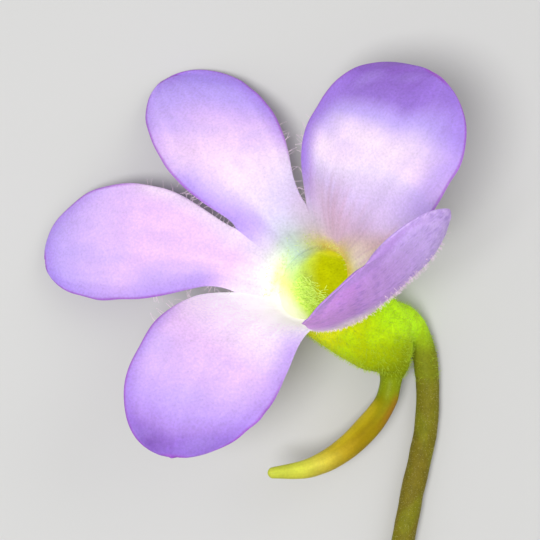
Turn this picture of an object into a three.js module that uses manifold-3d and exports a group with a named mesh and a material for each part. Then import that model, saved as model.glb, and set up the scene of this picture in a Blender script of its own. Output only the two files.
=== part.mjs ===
// A butterwort flower, picked with its stalk and laid down on its side.
//
// The flower is one tube of petal tissue that opens into five lobes and ends in a spur.
// A small green calyx holds it at the top of the stalk, and the ovary, its flap-shaped
// stigma and two stamens sit inside the tube. Millimetres, +Z up. The part rests on the
// stalk's crook, the stalk's cut end and the tip of the upper left lobe.

import * as THREE from 'three';
import { mergeVertices } from 'three/addons/utils/BufferGeometryUtils.js';
import Module from 'manifold-3d';

// ---- Driving dimensions: millimetres and degrees --------------------------------------

const THROAT = [4.27, 5.99, 5.84]; // centre of the tube's mouth, over the part's origin
const AXIS_TILT = 42; // the flower's axis leans this far from upright
const AXIS_LEAN = 142; // and towards this heading, counted from +X
const RIM_RADIUS = 2.6; // tube's mouth, where the lobes begin
const PETAL = 0.6; // thickness of the limb's and the tube's wall
const GAP = 0.15; // clearance between neighbouring pieces

// The five lobes, by heading round the flower's axis. rise and fall are the angles
// between the axis and the lobe at its base and at its tip; sweep turns it sideways and
// roll twists it. Left and right are half-widths, neckLeft and neckRight their share at
// the base, and widest is the widest place along the length. cup curls the margins up,
// belly pushes the middle out at the back, and tip is the roundness of the tip.
const LOBES = [
  { heading: 55, length: 13.5, rise: 23, fall: 105, sweep: 3, roll: 5, left: 6.2, right: 5.8,
    widest: 0.55, neckLeft: 0.63, neckRight: 0.63, cup: -0.05, belly: 0, tip: 2.2 },
  { heading: 128, length: 15.4, rise: 33, fall: 87, sweep: 11, roll: 20, left: 4.2, right: 3.5,
    widest: 0.6, neckLeft: 0.2, neckRight: 0.08, cup: -0.05, belly: 0, tip: 2.2 },
  { heading: 174.5, length: 16.3, rise: 33, fall: 91, sweep: 22, roll: -16, left: 4.3, right: 3.3,
    widest: 0.63, neckLeft: 0.04, neckRight: 0.12, cup: -0.05, belly: 0, tip: 2.2 },
  { heading: 240, length: 13.1, rise: 20, fall: 105, sweep: 30, roll: -30, left: 4.3, right: 4.7,
    widest: 0.52, neckLeft: 1, neckRight: 0.66, cup: -0.05, belly: 0, tip: 2.2 },
  { heading: 334.7, length: 13.45, rise: 71.5, fall: 18.2, sweep: 22.6, roll: -33.4, left: 4.4,
    right: 6.2, widest: 0.75, neckLeft: 0.12, neckRight: 0.1, cup: 0.125, belly: 0.47, tip: 1.95 },
];
// Seam after each lobe: its heading, and how many rows of the lobes' bases it joins.
const SEAMS = [
  { heading: 90, rows: 4 },
  { heading: 155, rows: 6 },
  { heading: 209, rows: 4 },
  { heading: 285, rows: 3 },
  { heading: 375, rows: 3 },
];
const BASE_ROWS = 8; // rows across the joined bases
const BASE_STEP = 0.04; // share of a lobe's length from one base row to the next
const BLADE_ROWS = 13; // rows from there to the tip
const HALF_COLUMNS = 4; // columns on each side of a lobe's midrib
const SEAM_EASE = 0.05; // share of the length over which a seam's pull fades

// Centreline of the tube and its spur from the throat, [x, y, z, radius].
const COROLLA_LINE = [
  [0, 0, 0, 2.9],
  [1.58, -1.22, -2.06, 2.8],
  [3.36, -2.82, -3, 2.55],
  [4.55, -4.2, -3.58, 2.12],
  [5.12, -5.22, -3.88, 1.42],
  [5.17, -6.08, -4, 0.76],
  [4.9, -7.44, -4, 0.7],
  [4.31, -8.46, -3.75, 0.735],
  [3.57, -9.34, -3.44, 0.77],
  [2.65, -10.22, -3, 0.745],
  [1.59, -10.99, -2.56, 0.69],
  [0.5, -11.53, -2.06, 0.63],
  [-0.65, -11.84, -1.5, 0.54],
  [-2.48, -11.97, -0.94, 0.34],
];
const TUBE_SPANS = 5; // the first of its spans are the tube, the rest the spur
// Centreline of the stalk, from inside the tube's wall to the cut end.
const STALK_LINE = [
  [5.36, -2.73, -3.31, 0.9],
  [6.25, -2.35, -4.35, 0.95],
  [7.07, -3.43, -4.94, 0.92],
  [7.49, -5.07, -5.12, 0.8],
  [7.62, -7.36, -5.14, 0.79],
  [7.51, -9.38, -5.14, 0.79],
  [7.16, -11.27, -5.08, 0.78],
  [6.62, -13.55, -5.0, 0.78],
  [6.0, -16.8, -4.96, 0.78],
  [5.2, -20.73, -5.02, 0.78],
  [4.3, -25.98, -5.14, 0.79],
];
const CALYX_SPANS = 2; // the first of its spans are the receptacle
const CAVITY_SHARE = 0.62; // how far down its line the tube is hollow

// Sepals: how far each runs along the tube, as a share of it, and round it, in degrees.
const SEPALS = [
  { along: -0.42, round: 0 },
  { along: -0.33, round: 62 },
  { along: -0.33, round: -62 },
  { along: 0.26, round: 70 },
  { along: 0.26, round: -70 },
];
const SEPAL_WIDTH = 1.5;
const SEPAL_THICKNESS = 0.6;
const SEPAL_CURVE = 1.6; // radius across a sepal
const SEAT_SHARE = 0.56; // how far down the tube the sepals and the ovary are seated

// Ovary, style and stigma, and the two stamens beside them.
const FOOT_RADIUS = 0.42;
const OVARY_RADIUS = 0.62;
const STYLE_LENGTH = 1.1;
const STYLE_RADIUS = 0.32;
const STIGMA_RADIUS = 0.52;
const STIGMA_DEPTH = 0.31;
const STAMEN_OFFSET = 0.95; // from the ovary's middle
const STAMEN_LENGTH = 1.1;
const FILAMENT_RADIUS = 0.17;
const ANTHER_RADIUS = 0.33;

// Facets round each piece, and rings to a span of its line.
const TUBE_SIDES = 24;
const STALK_SIDES = 16;
const SPUR_SIDES = 14;
const FINE_SIDES = 10;
const SPAN_RINGS = 3;

// ---- Small vector helpers -------------------------------------------------------------

const radians = (degrees) => THREE.MathUtils.degToRad(degrees);
const vector = (x, y, z) => new THREE.Vector3(x, y, z);
const smooth = (from, to, value) => THREE.MathUtils.smoothstep(value, from, to);

function sum(...terms) {
  const total = vector(0, 0, 0);
  for (const [part, factor] of terms) total.addScaledVector(part, factor);
  return total;
}

// ---- The flower's own directions ------------------------------------------------------

const tilt = radians(AXIS_TILT);
const lean = radians(AXIS_LEAN);
const AXIS = vector(
  Math.sin(tilt) * Math.cos(lean),
  Math.sin(tilt) * Math.sin(lean),
  Math.cos(tilt),
);
const UP = sum([vector(0, 1, 0), 1], [AXIS, -AXIS.y]).normalize();
const ACROSS = vector(0, 0, 0).crossVectors(UP, AXIS);

const outward = (heading) => sum([ACROSS, Math.cos(heading)], [UP, Math.sin(heading)]);
const sideways = (heading) => sum([ACROSS, -Math.sin(heading)], [UP, Math.cos(heading)]);

// ---- Lobes: a middle surface of rows from the throat to the tip -----------------------

const RIB_STEPS = 200;

// Where a lobe's rib, started at the given heading, passes each row, with its side and
// its face there.
function rib(lobe, startHeading, rows) {
  const direction = (share) => {
    const angle = radians(lobe.rise + (lobe.fall - lobe.rise) * share ** 0.7);
    const heading = startHeading + radians(lobe.sweep) * share;
    return sum([AXIS, Math.cos(angle)], [outward(heading), Math.sin(angle)]);
  };
  const points = [outward(startHeading).multiplyScalar(RIM_RADIUS)];
  for (let i = 0; i < RIB_STEPS; i += 1) {
    const middle = sum([direction(i / RIB_STEPS), 0.5], [direction((i + 1) / RIB_STEPS), 0.5]);
    points.push(sum([points[i], 1], [middle, lobe.length / RIB_STEPS]));
  }
  return rows.map((share) => {
    const angle = radians(lobe.rise + (lobe.fall - lobe.rise) * share ** 0.7);
    const heading = startHeading + radians(lobe.sweep) * share;
    const roll = radians(lobe.roll) * smooth(0, 0.6, share);
    const flatSide = sideways(heading);
    const flatFace = sum([AXIS, Math.sin(angle)], [outward(heading), -Math.cos(angle)]);
    const place = share * RIB_STEPS;
    const i = Math.min(Math.floor(place), RIB_STEPS - 1);
    return {
      point: points[i].clone().lerp(points[i + 1], place - i),
      side: sum([flatSide, Math.cos(roll)], [flatFace, Math.sin(roll)]),
      face: sum([flatFace, Math.cos(roll)], [flatSide, -Math.sin(roll)]),
    };
  });
}

function halfWidth(lobe, share, across) {
  const width = across < 0 ? lobe.left : lobe.right;
  const neck = across < 0 ? lobe.neckLeft : lobe.neckRight;
  if (share < lobe.widest) {
    return width * (neck + (1 - neck) * Math.sin((Math.PI / 2) * (share / lobe.widest)) ** 1.5);
  }
  const past = (share - lobe.widest) / (1 - lobe.widest);
  return width * Math.max(0, 1 - past ** lobe.tip) ** (1 / lobe.tip);
}

// One lobe's grid of points: near the throat it follows the flare between its two seams,
// and further out its own blade.
function lobeGrid(index, rows, columns) {
  const lobe = LOBES[index];
  const before = SEAMS[(index + 4) % 5].heading - (index === 0 ? 360 : 0);
  const after = SEAMS[index].heading;
  const middle = rib(lobe, radians(lobe.heading), rows);
  const flare = columns.map((across) => {
    const reach = across < 0 ? lobe.heading - before : after - lobe.heading;
    return rib(lobe, radians(lobe.heading + reach * across), rows);
  });
  return rows.map((share, r) => columns.map((across, c) => {
    const width = halfWidth(lobe, share, across);
    const belly = lobe.belly * Math.sin(Math.PI * share ** 0.8) * (1 - across ** 2);
    const blade = sum(
      [middle[r].point, 1],
      [middle[r].side, width * across],
      [middle[r].face, lobe.cup * width * across ** 2 - belly],
    );
    return flare[c][r].point.clone().lerp(blade, smooth(0, 0.3, share));
  }));
}

// All five grids, drawn together along the seams that join their bases.
function limbGrids(rows, columns) {
  const grids = LOBES.map((lobe, index) => lobeGrid(index, rows, columns));
  const last = columns.length - 1;
  SEAMS.forEach((seam, index) => {
    const left = grids[index];
    const right = grids[(index + 1) % 5];
    const sinus = rows[seam.rows];
    const pulls = rows.map((share, r) => {
      const at = Math.min(r, seam.rows);
      return sum([right[at][0], 0.5], [left[at][last], -0.5])
        .multiplyScalar(share <= sinus ? 1 : Math.exp((sinus - share) / SEAM_EASE));
    });
    rows.forEach((share, r) => columns.forEach((across, c) => {
      left[r][c].addScaledVector(pulls[r], Math.max(across, 0) ** 3);
      right[r][c].addScaledVector(pulls[r], -(Math.max(-across, 0) ** 3));
    }));
  });
  return grids;
}

function limbRows() {
  const rows = [];
  for (let i = 0; i <= BASE_ROWS; i += 1) rows.push(i * BASE_STEP);
  const base = BASE_ROWS * BASE_STEP;
  for (let i = 1; i <= BLADE_ROWS; i += 1) {
    rows.push(base + (1 - base) * (1 - (1 - i / BLADE_ROWS) ** 1.7));
  }
  return rows;
}

// ---- Closed meshes --------------------------------------------------------------------

// Collects points and faces, and leaves out the faces that a merged point has flattened.
class Shell {
  constructor() {
    this.points = [];
    this.faces = [];
  }

  add(point) {
    this.points.push(point);
    return this.points.length - 1;
  }

  triangle(a, b, c) {
    if (a !== b && b !== c && c !== a) this.faces.push(a, b, c);
  }

  quad(a, b, c, d) {
    this.triangle(a, b, c);
    this.triangle(a, c, d);
  }

  geometry() {
    const geometry = new THREE.BufferGeometry();
    const flat = this.points.flatMap((point) => point.toArray());
    geometry.setAttribute('position', new THREE.Float32BufferAttribute(flat, 3));
    geometry.setIndex(this.faces);
    return geometry;
  }
}

// The limb: the middle surface thickened to both sides, one closed body. Points on a
// joined seam and at a tip are shared.
function limbGeometry() {
  const rows = limbRows();
  const columns = [];
  for (let c = -HALF_COLUMNS; c <= HALF_COLUMNS; c += 1) columns.push(c / HALF_COLUMNS);
  const grids = limbGrids(rows, columns);
  const last = columns.length - 1;
  const tip = rows.length - 1;

  const middle = [];
  const numbers = grids.map((grid) => grid.map(() => []));
  const number = (index, r, c) => {
    const previous = (index + 4) % 5;
    if (r === tip && c > 0) return numbers[index][r][0];
    if (c === last && index === 4 && r <= SEAMS[index].rows) return numbers[0][r][0];
    if (c === 0 && index > 0 && r <= SEAMS[previous].rows) return numbers[previous][r][last];
    middle.push(grids[index][r][c]);
    return middle.length - 1;
  };
  grids.forEach((grid, index) => grid.forEach((row, r) => row.forEach((point, c) => {
    numbers[index][r][c] = number(index, r, c);
  })));

  const normals = middle.map(() => vector(0, 0, 0));
  const corners = (index, r, c) => [
    numbers[index][r][c], numbers[index][r + 1][c],
    numbers[index][r + 1][c + 1], numbers[index][r][c + 1],
  ];
  const eachQuad = (visit) => {
    for (let index = 0; index < 5; index += 1) {
      for (let r = 0; r < tip; r += 1) {
        for (let c = 0; c < last; c += 1) visit(corners(index, r, c));
      }
    }
  };
  eachQuad(([a, b, c, d]) => {
    const face = vector(0, 0, 0).crossVectors(
      sum([middle[c], 1], [middle[a], -1]),
      sum([middle[d], 1], [middle[b], -1]),
    );
    for (const corner of new Set([a, b, c, d])) normals[corner].add(face);
  });
  // On the rim the wall stands square to the mouth, like the tube's below it.
  for (let index = 0; index < 5; index += 1) {
    for (let c = 0; c <= last; c += 1) {
      normals[numbers[index][0][c]].copy(grids[index][0][c]).negate();
    }
  }

  const shell = new Shell();
  const inner = middle.map((point, i) => (
    shell.add(sum([point, 1], [normals[i].normalize(), PETAL / 2]))));
  const outer = middle.map((point, i) => shell.add(sum([point, 1], [normals[i], -PETAL / 2])));
  eachQuad(([a, b, c, d]) => {
    shell.quad(inner[a], inner[b], inner[c], inner[d]);
    shell.triangle(outer[c], outer[b], outer[a]);
    shell.triangle(outer[d], outer[c], outer[a]);
  });
  const edge = (a, b) => shell.quad(inner[a], inner[b], outer[b], outer[a]);
  for (let index = 0; index < 5; index += 1) {
    for (let c = 0; c < last; c += 1) edge(numbers[index][0][c], numbers[index][0][c + 1]);
    for (let r = SEAMS[(index + 4) % 5].rows; r < tip; r += 1) {
      edge(numbers[index][r + 1][0], numbers[index][r][0]);
    }
    for (let r = SEAMS[index].rows; r < tip; r += 1) {
      edge(numbers[index][r][last], numbers[index][r + 1][last]);
    }
  }
  return shell.geometry();
}

// ---- Round bodies along a line --------------------------------------------------------

// A uniform Catmull-Rom curve through [x, y, z, radius] points, as rings to skin.
function rings(line, perSpan, from = 0, to = 1) {
  const spans = line.length - 1;
  const point = (i) => {
    if (i < 0) return line[0].map((value, k) => 2 * value - line[1][k]);
    if (i > spans) return line[spans].map((value, k) => 2 * value - line[spans - 1][k]);
    return line[i];
  };
  const at = (share) => {
    const span = Math.min(Math.floor(share * spans), spans - 1);
    const u = share * spans - span;
    const [a, b, c, d] = [point(span - 1), point(span), point(span + 1), point(span + 2)];
    return b.map((value, k) => 0.5 * (
      2 * value + (c[k] - a[k]) * u + (2 * a[k] - 5 * value + 4 * c[k] - d[k]) * u * u
      + (3 * value - a[k] - 3 * c[k] + d[k]) * u * u * u));
  };
  const count = Math.round(perSpan * spans * (to - from));
  const list = [];
  for (let i = 0; i <= count; i += 1) {
    const share = from + (to - from) * (i / count);
    const [x, y, z, radius] = at(share);
    const ahead = vector(...at(Math.min(share + 1e-4, 1)));
    const behind = vector(...at(Math.max(share - 1e-4, 0)));
    list.push({ centre: vector(x, y, z), radius, along: ahead.sub(behind).normalize() });
  }
  let side = sum([ACROSS, 1], [list[0].along, -ACROSS.dot(list[0].along)]).normalize();
  for (const ring of list) {
    side = sum([side, 1], [ring.along, -side.dot(ring.along)]).normalize();
    ring.side = side;
    ring.up = vector(0, 0, 0).crossVectors(ring.along, side);
  }
  return list;
}

function ringPoint(ring, angle, radius) {
  return sum(
    [ring.centre, 1],
    [ring.side, Math.cos(angle) * radius],
    [ring.up, Math.sin(angle) * radius],
  );
}

// Skins rings into a closed body. Each entry of the profile is [ring, radius], and a
// radius of zero closes the end with a fan.
function skin(profile, sides) {
  const shell = new Shell();
  const loops = profile.map(([ring, radius]) => {
    if (radius === 0) return Array(sides).fill(shell.add(ring.centre.clone()));
    return Array.from({ length: sides }, (unused, k) => (
      shell.add(ringPoint(ring, (k * 2 * Math.PI) / sides, radius))));
  });
  for (let i = 0; i + 1 < loops.length; i += 1) {
    for (let k = 0; k < sides; k += 1) {
      const next = (k + 1) % sides;
      shell.quad(loops[i][k], loops[i][next], loops[i + 1][next], loops[i + 1][k]);
    }
  }
  return shell.geometry();
}

function shifted(ring, distance) {
  return { ...ring, centre: sum([ring.centre, 1], [ring.along, distance]) };
}

// A round end beyond a ring.
function dome(ring, radius) {
  return [25, 50, 72, 90].map((degrees) => [
    shifted(ring, radius * Math.sin(radians(degrees))),
    degrees === 90 ? 0 : radius * Math.cos(radians(degrees)),
  ]);
}

// A solid round body with its two ends rounded off by a small bevel.
function stick(line, perSpan, sides, bevel) {
  const list = rings(line, perSpan);
  const first = list[0];
  const last = list[list.length - 1];
  const body = list.slice(1, -1).map((ring) => [ring, ring.radius]);
  return skin([
    [first, 0], [first, first.radius - bevel], [shifted(first, bevel), first.radius],
    ...body,
    [shifted(last, -bevel), last.radius], [last, last.radius - bevel], [last, 0],
  ], sides);
}

// ---- Booleans -------------------------------------------------------------------------

const wasm = await Module();
wasm.setup();

function solid(geometry) {
  const bare = geometry.clone();
  bare.deleteAttribute('normal');
  bare.deleteAttribute('uv');
  const merged = mergeVertices(bare, 1e-5);
  return new wasm.Manifold(new wasm.Mesh({
    numProp: 3,
    vertProperties: new Float32Array(merged.attributes.position.array),
    triVerts: new Uint32Array(merged.index.array),
  }));
}

function geometryOf(manifold) {
  const mesh = manifold.getMesh();
  const geometry = new THREE.BufferGeometry();
  geometry.setAttribute('position', new THREE.Float32BufferAttribute(mesh.vertProperties, 3));
  geometry.setIndex(Array.from(mesh.triVerts));
  return geometry;
}

// A boolean's main body, without loose scraps.
function largest(manifold) {
  const bodies = manifold.decompose();
  return bodies.reduce((best, body) => (body.volume() > best.volume() ? body : best));
}

// Everything under the surface that the part rests on, in throat coordinates.
function groundBlock() {
  const size = 120;
  return solid(new THREE.BoxGeometry(size, size, size).translate(0, 0, -size / 2 - THROAT[2]));
}

// ---- Pieces ---------------------------------------------------------------------------

const TUBE_SHARE = TUBE_SPANS / (COROLLA_LINE.length - 1);
const tubeRings = rings(COROLLA_LINE, SPAN_RINGS, 0, TUBE_SHARE);

// The funnel's outside, grown by a clearance where a neighbour is fitted round it.
function tubeOutside(extra) {
  const last = tubeRings[tubeRings.length - 1];
  const first = shifted(tubeRings[0], GAP - extra);
  return skin([
    [first, 0],
    ...[first, ...tubeRings.slice(1)].map((ring) => [ring, ring.radius + extra]),
    [shifted(last, extra), last.radius + extra], [shifted(last, extra), 0],
  ], TUBE_SIDES);
}

// The hollow of the funnel, with a rounded bottom.
function tubeCavity() {
  const mouth = shifted(tubeRings[0], -1);
  const floor = Math.round(CAVITY_SHARE * (tubeRings.length - 1));
  const wall = tubeRings.slice(0, floor + 1).map((ring) => [ring, ring.radius - PETAL]);
  const end = tubeRings[floor];
  return skin([
    [mouth, 0], [mouth, wall[0][1]], ...wall, ...dome(end, end.radius - PETAL),
  ], TUBE_SIDES);
}

function corollaLimb() {
  return solid(limbGeometry()).subtract(groundBlock());
}

// The tube is open where the ovary stands on the receptacle.
function corollaTube() {
  return solid(tubeOutside(0)).subtract(solid(tubeCavity())).subtract(footHole());
}

function spur() {
  const list = rings(COROLLA_LINE, SPAN_RINGS, TUBE_SHARE, 1);
  const first = shifted(list[0], GAP);
  const last = list[list.length - 1];
  const body = list.slice(1).map((ring) => [ring, ring.radius]);
  return solid(skin([
    [first, 0], [first, first.radius], ...body, ...dome(last, last.radius),
  ], SPUR_SIDES));
}

// Ring of the tube beside the receptacle, and the angle on it that faces the receptacle.
const SEAT_RING = tubeRings[Math.floor(SEAT_SHARE * (tubeRings.length - 1))];
const seatWay = vector(...STALK_LINE[1]).sub(SEAT_RING.centre);
const SEAT_ANGLE = Math.atan2(seatWay.dot(SEAT_RING.up), seatWay.dot(SEAT_RING.side));

// A point of the tube's outer surface: share runs from the mouth to the spur.
function onTube(share, angle, lift) {
  const place = THREE.MathUtils.clamp(share, 0, 1) * (tubeRings.length - 1);
  const i = Math.min(Math.floor(place), tubeRings.length - 2);
  const [a, b] = [tubeRings[i], tubeRings[i + 1]];
  return ringPoint(a, angle, a.radius + lift)
    .lerp(ringPoint(b, angle, b.radius + lift), place - i);
}

const SEPAL_STEPS = 7;

// A pointed blade that lies round the tube with its foot in the receptacle.
function sepal({ along, round }) {
  const shell = new Shell();
  const columns = [-1, -0.5, 0, 0.5, 1];
  const place = (q, side, lift) => {
    const share = SEAT_SHARE + along * q;
    const angle = SEAT_ANGLE + radians(round) * q;
    const width = (SEPAL_WIDTH / 2) * Math.sin(Math.PI * (0.2 + 0.8 * q)) ** 0.7;
    const here = onTube(share, angle, lift);
    const ahead = onTube(share + along * 0.01, angle + radians(round) * 0.01, lift).sub(here);
    const up = onTube(share, angle, lift + 1).sub(here).normalize();
    const across = vector(0, 0, 0).crossVectors(up, ahead).normalize();
    const sag = (width * side) ** 2 / (2 * (lift + SEPAL_CURVE));
    return sum([here, 1], [across, width * side], [up, -sag]);
  };
  const layers = [GAP - 0.05, GAP + SEPAL_THICKNESS].map((lift) => {
    const grid = [];
    for (let i = 0; i <= SEPAL_STEPS; i += 1) {
      const q = i / SEPAL_STEPS;
      if (i === SEPAL_STEPS) grid.push(Array(columns.length).fill(shell.add(place(q, 0, lift))));
      else grid.push(columns.map((side) => shell.add(place(q, side, lift))));
    }
    return grid;
  });
  const [under, over] = layers;
  const last = columns.length - 1;
  for (let i = 0; i < SEPAL_STEPS; i += 1) {
    for (let c = 0; c < last; c += 1) {
      shell.quad(over[i][c], over[i + 1][c], over[i + 1][c + 1], over[i][c + 1]);
      shell.triangle(under[i + 1][c + 1], under[i + 1][c], under[i][c]);
      shell.triangle(under[i][c + 1], under[i + 1][c + 1], under[i][c]);
    }
    shell.quad(under[i][0], under[i + 1][0], over[i + 1][0], over[i][0]);
    shell.quad(over[i][last], over[i + 1][last], under[i + 1][last], under[i][last]);
  }
  for (let c = 0; c < last; c += 1) {
    shell.quad(over[0][c], over[0][c + 1], under[0][c + 1], under[0][c]);
  }
  return shell.geometry();
}

// The stalk line's share at which the receptacle ends and the scape begins.
const RECEPTACLE_SHARE = CALYX_SPANS / (STALK_LINE.length - 1);

function receptacle() {
  const list = rings(STALK_LINE, SPAN_RINGS, 0, RECEPTACLE_SHARE);
  const body = list.map((ring) => [ring, ring.radius]);
  return skin([[list[0], 0], ...body, [list[list.length - 1], 0]], STALK_SIDES);
}

function calyx() {
  const pieces = SEPALS.map((entry) => solid(sepal(entry)));
  const green = pieces.reduce((whole, piece) => whole.add(piece), solid(receptacle()));
  const clear = green.subtract(solid(tubeOutside(GAP))).subtract(scapeBody(GAP));
  return largest(clear.subtract(groundBlock()));
}

// The scape, grown by a clearance where the calyx is fitted round it.
function scapeBody(extra) {
  const list = rings(STALK_LINE, SPAN_RINGS, RECEPTACLE_SHARE, 1);
  const first = shifted(list[0], GAP - extra);
  const last = list[list.length - 1];
  const body = list.slice(1).map((ring) => [ring, ring.radius + extra]);
  return solid(skin([
    [first, 0], [first, first.radius + extra], ...body, [last, 0],
  ], STALK_SIDES));
}

function scape() {
  return scapeBody(0).subtract(groundBlock());
}

// The ovary stands on the receptacle, through the hole in the tube's wall.
const seat = onTube(SEAT_SHARE, SEAT_ANGLE, 0);
const inwards = seat.clone().sub(onTube(SEAT_SHARE, SEAT_ANGLE, 1)).normalize();
const towardsMouth = tubeRings[3].centre.clone().sub(tubeRings[8].centre).normalize();
const ovaryCentre = sum([seat, 1], [inwards, PETAL + GAP + OVARY_RADIUS]);

// A short round post with bevelled ends.
function post(from, way, length, radius) {
  const end = sum([from, 1], [way, length]);
  const line = [[...from.toArray(), radius], [...end.toArray(), radius]];
  return solid(stick(line, 1, FINE_SIDES, 0.05));
}

// A ball, flattened to the given depth along a direction.
function ball(centre, radius, depth = radius, way = AXIS) {
  const turn = new THREE.Quaternion().setFromUnitVectors(vector(0, 0, 1), way);
  return solid(new THREE.SphereGeometry(radius, FINE_SIDES, 7)
    .scale(1, 1, depth / radius)
    .applyQuaternion(turn)
    .translate(centre.x, centre.y, centre.z));
}

function footHole() {
  return post(sum([seat, 1], [inwards, -1]), inwards, 1.5 + PETAL, FOOT_RADIUS + GAP);
}

function pistil() {
  const foot = post(sum([seat, 1], [inwards, 0.05]), inwards, PETAL + OVARY_RADIUS, FOOT_RADIUS);
  const style = post(ovaryCentre, towardsMouth, STYLE_LENGTH, STYLE_RADIUS);
  const top = sum([ovaryCentre, 1], [towardsMouth, STYLE_LENGTH]);
  return foot.add(ball(ovaryCentre, OVARY_RADIUS)).add(style)
    .add(ball(top, STIGMA_RADIUS, STIGMA_DEPTH, towardsMouth));
}

// A curved filament from the tube's floor beside the ovary, with its anther at the top.
function stamen(hand) {
  const across = vector(0, 0, 0).crossVectors(inwards, towardsMouth).normalize();
  const base = sum([ovaryCentre, 1], [across, hand * STAMEN_OFFSET], [inwards, 0.15]);
  const bend = sum([base, 1], [towardsMouth, STAMEN_LENGTH / 2], [inwards, 0.12]);
  const top = sum([base, 1], [towardsMouth, STAMEN_LENGTH]);
  const line = [base, bend, top].map((point) => [...point.toArray(), FILAMENT_RADIUS]);
  return solid(stick(line, SPAN_RINGS, FINE_SIDES, 0.04)).add(ball(top, ANTHER_RADIUS));
}

// ---- Materials and the group ----------------------------------------------------------

const finish = (color, roughness) => (
  new THREE.MeshStandardMaterial({ color, roughness, metalness: 0 }));

const flower = new THREE.Group();
flower.name = 'butterwort_flower';

function place(name, manifold, material) {
  const mesh = new THREE.Mesh(geometryOf(manifold), material);
  mesh.name = name;
  mesh.position.set(...THROAT);
  flower.add(mesh);
}

place('corolla_limb', corollaLimb(), finish('#cdb0f2', 0.55));
place('corolla_tube', corollaTube(), finish('#b4cf1c', 0.6));
place('spur', spur(), finish('#a8951a', 0.45));
place('calyx', calyx(), finish('#a5d72a', 0.6));
place('scape', scape(), finish('#847f28', 0.65));
place('pistil', pistil(), finish('#b9c93a', 0.5));
place('stamen_left', stamen(-1), finish('#e8e2a0', 0.5));
place('stamen_right', stamen(1), finish('#e8e2a0', 0.5));

export default flower;
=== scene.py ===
"""The looks of a butterwort flower, picked and laid down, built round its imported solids."""

import math

import bpy
import numpy as np
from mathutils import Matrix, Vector


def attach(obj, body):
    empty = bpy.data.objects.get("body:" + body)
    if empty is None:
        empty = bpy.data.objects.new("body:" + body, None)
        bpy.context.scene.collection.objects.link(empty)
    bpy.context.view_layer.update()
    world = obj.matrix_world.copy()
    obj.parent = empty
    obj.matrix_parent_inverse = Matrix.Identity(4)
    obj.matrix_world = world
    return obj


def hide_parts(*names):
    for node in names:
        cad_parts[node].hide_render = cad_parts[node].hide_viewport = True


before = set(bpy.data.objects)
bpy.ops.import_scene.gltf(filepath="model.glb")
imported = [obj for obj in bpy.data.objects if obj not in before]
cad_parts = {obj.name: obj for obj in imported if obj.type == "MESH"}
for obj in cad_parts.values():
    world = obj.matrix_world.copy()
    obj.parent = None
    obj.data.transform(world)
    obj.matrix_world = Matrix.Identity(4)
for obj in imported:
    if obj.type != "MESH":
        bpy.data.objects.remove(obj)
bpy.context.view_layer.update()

# ---- The flower's own sizes, in millimetres and degrees, as its solids have them ----

THROAT = np.array([4.27, 5.99, 5.84])  # centre of the tube's mouth, over the part's origin
AXIS_TILT = 42
AXIS_LEAN = 142
RIM_RADIUS = 2.6
GROUND = -THROAT[2]

# The five lobes, in order round the flower: upper right, upper left, left, lower left, right.
LOBE_VALUES = ("heading", "length", "rise", "fall", "sweep", "roll", "left", "right", "widest",
               "neck_left", "neck_right", "cup", "belly", "tip")
LOBES = [dict(zip(LOBE_VALUES, row)) for row in (
    (55, 13.5, 23, 105, 3, 5, 6.2, 5.8, 0.55, 0.63, 0.63, -0.05, 0, 2.2),
    (128, 15.4, 33, 87, 11, 20, 4.2, 3.5, 0.6, 0.2, 0.08, -0.05, 0, 2.2),
    (174.5, 16.3, 33, 91, 22, -16, 4.3, 3.3, 0.63, 0.04, 0.12, -0.05, 0, 2.2),
    (240, 13.1, 20, 105, 30, -30, 4.3, 4.7, 0.52, 1, 0.66, -0.05, 0, 2.2),
    (334.7, 13.45, 71.5, 18.2, 22.6, -33.4, 4.4, 6.2, 0.75, 0.12, 0.1, 0.125, 0.47, 1.95),
)]
UPPER_RIGHT, UPPER_LEFT, LEFT, LOWER_LEFT, RIGHT = range(5)
# Seam after each lobe: its heading, and the share of the lobes' length that it joins.
SEAMS = [(90, 0.16), (155, 0.24), (209, 0.16), (285, 0.12), (375, 0.12)]
SEAM_EASE = 0.05

# Centreline of the tube and its spur, [x, y, z, radius]. The first spans are the tube.
COROLLA_LINE = [
    [0, 0, 0, 2.9], [1.58, -1.22, -2.06, 2.8], [3.36, -2.82, -3, 2.55],
    [4.55, -4.2, -3.58, 2.12], [5.12, -5.22, -3.88, 1.42], [5.17, -6.08, -4, 0.76],
    [4.9, -7.44, -4, 0.7], [4.31, -8.46, -3.75, 0.735], [3.57, -9.34, -3.44, 0.77],
    [2.65, -10.22, -3, 0.745], [1.59, -10.99, -2.56, 0.69], [0.5, -11.53, -2.06, 0.63],
    [-0.65, -11.84, -1.5, 0.54], [-2.48, -11.97, -0.94, 0.34],
]
TUBE_SPANS = 5
STALK_LINE = [
    [5.36, -2.73, -3.31, 0.9], [6.25, -2.35, -4.35, 0.95], [7.07, -3.43, -4.94, 0.92],
    [7.49, -5.07, -5.12, 0.8], [7.62, -7.36, -5.14, 0.79], [7.51, -9.38, -5.14, 0.79],
    [7.16, -11.27, -5.08, 0.78], [6.62, -13.55, -5, 0.78], [6, -16.8, -4.96, 0.78],
    [5.2, -20.73, -5.02, 0.78], [4.3, -25.98, -5.14, 0.79],
]
CALYX_SPANS = 2
CAVITY_SHARE = 0.62
SEPALS = [(-0.42, 0), (-0.33, 62), (-0.33, -62), (0.26, 70), (0.26, -70)]
SEPAL_WIDTH = 1.5
SEAT_SHARE = 0.56

# Ovary, stigma and stamens, seated on the receptacle through the tube's wall.
WALL = 0.6
OVARY_RADIUS = 0.62
STAMEN_OFFSET = 0.95
STAMEN_LENGTH = 1.1

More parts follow.
